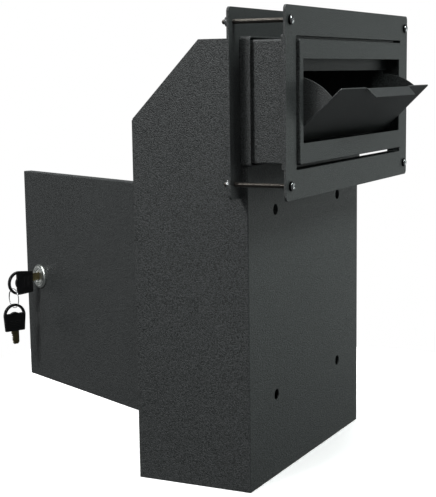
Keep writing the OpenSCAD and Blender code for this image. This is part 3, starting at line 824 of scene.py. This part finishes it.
# %% [markdown]
# ## Cam lock
# The lock is a chromed zinc casting with a threaded barrel, a stepped rim and a turned plug face.
# Each round part is turned from its profile about the lock's axis, with the door closed, and
# carried open with the door. The keyway is a slot cut right through the plug's face.

# %% Cam lock
lock_at = LOCK_AT / MM
plug_low, plug_high = closed_box("lock_plug", DOOR)
case_low, case_high = closed_box("lock_housing", DOOR)
RIM_R = (case_high.x - case_low.x) / 2
PLUG_R = (plug_high.x - plug_low.x) / 2
DOOR_Y = case_high.y - 2.8


def turned(profile, steps=96):
    """A closed BMesh turned about the lock's axis from (radius, y) corners in mm, with the door closed."""
    bm = bmesh.new()
    rings = []
    for radius, y in profile:
        if radius < 0.01:
            rings.append([bm.verts.new((lock_at.x, y, lock_at.z))])
            continue
        angles = [2 * math.pi * k / steps for k in range(steps)]
        rings.append([bm.verts.new((lock_at.x + radius * math.cos(a), y, lock_at.z + radius * math.sin(a)))
                      for a in angles])
    for one, two in zip(rings, rings[1:] + rings[:1]):
        for k in range(max(len(one), len(two))):
            corner = [one[k % len(one)], one[(k + 1) % len(one)], two[(k + 1) % len(two)], two[k % len(two)]]
            corner = list(dict.fromkeys(corner))
            if len(corner) > 2:
                bm.faces.new(corner)
    bmesh.ops.scale(bm, vec=(MM, MM, MM), verts=bm.verts)
    bmesh.ops.recalc_face_normals(bm, faces=bm.faces)
    return bm


def slab(x_mm, y_low, y_high, z_mm, at=(0, 0)):
    """A box about the lock's axis, in mm, as a BMesh."""
    bm = bmesh.new()
    bmesh.ops.create_cube(bm, size=1)
    bmesh.ops.scale(bm, vec=Vector((x_mm, y_high - y_low, z_mm)) * MM, verts=bm.verts)
    centre = Vector((lock_at.x + at[0], (y_low + y_high) / 2, lock_at.z + at[1]))
    bmesh.ops.translate(bm, vec=centre * MM, verts=bm.verts)
    return bm


def cut(bm, *cutters):
    """Cuts each cutter out of a BMesh and returns the result."""
    body = bpy.data.meshes.new("body")
    bm.to_mesh(body)
    bm.free()
    for cutter in cutters:
        tool_mesh = bpy.data.meshes.new("tool")
        cutter.to_mesh(tool_mesh)
        cutter.free()
        tool = bpy.data.objects.new("tool", tool_mesh)
        SCENE.collection.objects.link(tool)

        def carve(modifier, tool=tool):
            modifier.operation = "DIFFERENCE"
            modifier.solver = "EXACT"
            modifier.object = tool

        body = evaluated(body, carve, "BOOLEAN")
        bpy.data.objects.remove(tool)
    result = bmesh.new()
    result.from_mesh(body)
    bmesh.ops.remove_doubles(result, verts=result.verts, dist=1e-6)
    return result


HOLE_R = PLUG_R + 0.05
BACK_Y = case_low.y
case = turned([
    (HOLE_R, BACK_Y), (8.4, BACK_Y), (8.7, BACK_Y + 0.3), (8.7, DOOR_Y - 3.3), (9.25, DOOR_Y - 2.9),
    (9.25, DOOR_Y), (RIM_R - 0.25, DOOR_Y), (RIM_R, DOOR_Y + 0.25), (RIM_R, DOOR_Y + 1.15),
    (RIM_R - 0.2, DOOR_Y + 1.7), (RIM_R - 0.65, DOOR_Y + 2.2), (RIM_R - 1.3, DOOR_Y + 2.6),
    (RIM_R - 2.1, DOOR_Y + 2.78), (RIM_R - 2.7, DOOR_Y + 2.8), (8.75, DOOR_Y + 2.8), (8.5, DOOR_Y + 2.45),
    (8.15, DOOR_Y + 2.45), (7.9, DOOR_Y + 2.8), (7.1, DOOR_Y + 2.8), (HOLE_R + 0.15, DOOR_Y + 2.65),
    (HOLE_R, DOOR_Y + 2.4)])
thread = grow(RIDGE, chrome, facing(1, lock_at.x, DOOR_Y - 2.6, lock_at.z), on_grid=False, Crest=9.22,
              Pitch=1.0, Length=DOOR_Y - 2.6 - BACK_Y - 0.6)
lock_case = joined(case, thread)
place_piece("lock_case", settle(lock_case, "lock_case", DOOR), "lock_housing")

plug = turned([
    (0, plug_low.y), (PLUG_R - 0.2, plug_low.y), (PLUG_R, plug_low.y + 0.2), (PLUG_R, plug_high.y - 0.45),
    (PLUG_R - 0.12, plug_high.y - 0.15), (PLUG_R - 0.45, plug_high.y), (0, plug_high.y)])
keyway_deep = DOOR_Y + 2.8 - 10.1
keyway = slab(2.2, keyway_deep, plug_high.y + 1, 8.0)
mouth = slab(3.6, plug_high.y - 0.55, plug_high.y + 1, 9.4)
plug = cut(plug, keyway, mouth)
round_edges(plug, 0.12, lambda e: middle(e).y > plug_high.y - 1.2 and e.calc_face_angle(0) > 1.2, segments=2)
place_piece("lock_core", settle(plug, "lock_core", DOOR), "lock_plug")

nut_low, nut_high = closed_box("lock_nut", DOOR)
nut = grow(NUT, dull_zinc, facing(-1, lock_at.x, nut_high.y, lock_at.z), on_grid=False,
           Flats=nut_high.z - nut_low.z, Height=nut_high.y - nut_low.y, Bore=9.28)
round_edges(nut, 0.2)
place_piece("lock_ring_nut", settle(nut, "lock_ring_nut", DOOR), "lock_nut")
soften("lock_cam", "cam_plate", carry=DOOR, edge_mm=0.25)
soften("cam_washer", "cam_washer_finish", carry=DOOR, edge_mm=0.15)
soften("cam_screw", "cam_screw_finish", carry=DOOR, edge_mm=0.35)
print("lock rim diameter", round(2 * RIM_R, 1), "mm, plug", round(2 * PLUG_R, 1), "mm")

# %% [markdown]
# ## Keys and ring
# Each key is a flat nickel silver blade, milled with a groove on both faces and cut with five
# notches, moulded into an ABS head. The head is a thick half-round with a crescent hole for the
# ring, a raised rim and a sunk panel with grip ribs. One key is in the lock, one hangs below it.

# %% Keys and ring
HEAD_L = 27.0
HEAD_R = 11.75
LOOP_MM = 2.4
MID = HEAD_L - HEAD_R
KEY_COLUMNS = Matrix(((0, 0, 1), (0, 1, 0), (-1, 0, 0))).to_4x4()
HANG_COLUMNS = Matrix(((0, 0, 1), (1, 0, 0), (0, 1, 0))).to_4x4()


def arc(centre_y, radius, start, end, steps):
    """Points of a circle about (0, centre_y), from one angle to another in degrees."""
    angles = [math.radians(start + (end - start) * k / steps) for k in range(steps + 1)]
    return [(radius * math.cos(a), centre_y + radius * math.sin(a)) for a in angles]


def plate(outline, thick, at=0.0):
    """An upright-sided slab from a closed outline in mm, centred at a height, as a BMesh in mm."""
    bm = bmesh.new()
    low = [bm.verts.new((x, y, at - thick / 2)) for x, y in outline]
    high = [bm.verts.new((x, y, at + thick / 2)) for x, y in outline]
    bm.faces.new(low[::-1])
    bm.faces.new(high)
    for k in range(len(outline)):
        n = (k + 1) % len(outline)
        bm.faces.new((low[k], low[n], high[n], high[k]))
    bmesh.ops.recalc_face_normals(bm, faces=bm.faces)
    return bm


def head_outline(inset=0.0):
    """The head's outer line: square shoulders at the blade end and a half round at the other."""
    r = HEAD_R - inset
    corners = [(-r + 2.0, inset), (r - 2.0, inset), (r - 1.4, inset + 0.25), (r - 1.25, inset + 1.0)]
    return corners + arc(MID, r, 0, 180, 56) + [(-r + 1.25, inset + 1.0), (-r + 1.4, inset + 0.25)]


def crescent():
    """The hole for the ring: between the loop's inner round and the rounded top of the head's body."""
    inner = HEAD_R - LOOP_MM
    rise = 2.2
    start = math.degrees(math.asin(rise / inner))
    belly = math.degrees(math.asin((rise + 3.4) / 7))
    outer = arc(MID, inner, start, 180 - start, 44)
    return outer + arc(MID - 3.4, 7, 180 - belly, belly, 26)


def key_head():
    """A moulded head: rim, loop, sunk panel and ribs, as a BMesh in mm about its middle plane."""
    head = cut(plate(head_outline(), 2.8), plate(crescent(), 6))
    level_edges = [e for e in head.edges if abs((e.verts[0].co - e.verts[1].co).z) < 0.01]
    soft = [e for e in level_edges if e.calc_face_angle(0) > 0.7]
    bmesh.ops.bevel(head, geom=soft, offset=0.55, segments=4, profile=0.5, affect="EDGES",
                    clamp_overlap=True)
    panel = [(-8.0, 2.6), (8.0, 2.6), (8.6, 9.6)] + arc(MID - 3.4, 5.2, 12, 168, 16) + [(-8.6, 9.6)]
    for side in (-1, 1):
        head = cut(head, plate(panel, 0.8, side * 1.45))
    ribs = []
    for side in (-1, 1):
        for row in range(4):
            y = 4.2 + row * 1.7
            rib = [(-6.2, y), (6.2, y), (6.2, y + 0.7), (-6.2, y + 0.7)]
            ribs.append(plate(rib, 0.5, side * 1.1))
    collar = plate([(-4.6, -0.02), (4.6, -0.02), (4.6, 1.5), (-4.6, 1.5)], 2.0)
    return joined(head, *ribs, collar)


def key_blade(length, width, thick):
    """A cut and grooved blade from y = 0 down to y = -length, as a BMesh in mm."""
    half = width / 2
    depths = (0.0, 1.0, 1.0, 0.35, 1.5, 1.5, 0.5, 1.2, 1.2, 0.5, 1.6, 1.6, 1.3)
    step = (length - 3.6) / len(depths)
    outline = [(-half, -length + 2), (-half, 1.2), (half, 1.2)]
    outline += [(half - depth, -2.6 - k * step) for k, depth in enumerate(depths)]
    outline += [(half - 2.2, -length), (-half + 1.4, -length)]
    blade = cut(plate(outline[::-1], thick), *[
        plate([(x - w / 2, -length - 1), (x + w / 2, -length - 1), (x + w / 2, -0.4), (x - w / 2, -0.4)],
              0.9, side * thick / 2)
        for side, x, w in ((1, -0.9, 1.1), (-1, -0.6, 1.3), (1, 1.3, 0.5))])
    edges = [e for e in blade.edges if e.is_manifold and e.calc_face_angle(0) > 0.6]
    bmesh.ops.bevel(blade, geom=edges, offset=0.1, segments=2, profile=0.5, affect="EDGES",
                    clamp_overlap=True)
    return blade


def key_piece(name, node, bm, columns, origin):
    """Stands a key part, drawn in mm, in its place with the door closed, and carries it with the door."""
    bmesh.ops.scale(bm, vec=(MM, MM, MM), verts=bm.verts)
    bm.transform(Matrix.Translation(origin * MM) @ columns)
    return place_piece(name, settle(bm, name, DOOR), node)


low, high = closed_box("key_head", DOOR)
in_lock = Vector((lock_at.x, low.y, (low.z + high.z) / 2))
key_piece("lock_key_head", "key_head", key_head(), KEY_COLUMNS, in_lock)
low, high = closed_box("key_blade", DOOR)
blade_from = Vector((lock_at.x, high.y, lock_at.z))
blade = key_blade(high.y - low.y, high.z - low.z, 2.0)
key_piece("lock_key_blade", "key_blade", blade, KEY_COLUMNS, blade_from)
low, high = closed_box("spare_key_head", DOOR)
hung = Vector((lock_at.x, (low.y + high.y) / 2, low.z))
key_piece("hung_key_head", "spare_key_head", key_head(), HANG_COLUMNS, hung)
low, high = closed_box("spare_key_blade", DOOR)
hung = Vector((lock_at.x, (low.y + high.y) / 2, high.z))
blade = key_blade(high.z - low.z, 7.6, 2.0)
key_piece("hung_key_blade", "spare_key_blade", blade, HANG_COLUMNS, hung)

low, high = closed_box("key_ring", DOOR)
ring_at = (low + high) / 2
ring = grow(RING, spring_steel, facing(1, ring_at.x, ring_at.y, ring_at.z), on_grid=False,
            Radius=(high.x - low.x) / 2 - 0.6, Wire=0.3)
place_piece("split_key_ring", settle(ring, "split_key_ring", DOOR), "key_ring", finish=spring_steel)

# %% Sizes and finish
low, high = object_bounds()
{"cad": [list(cad_low), list(cad_high)], "visual": [list(low), list(high)]}
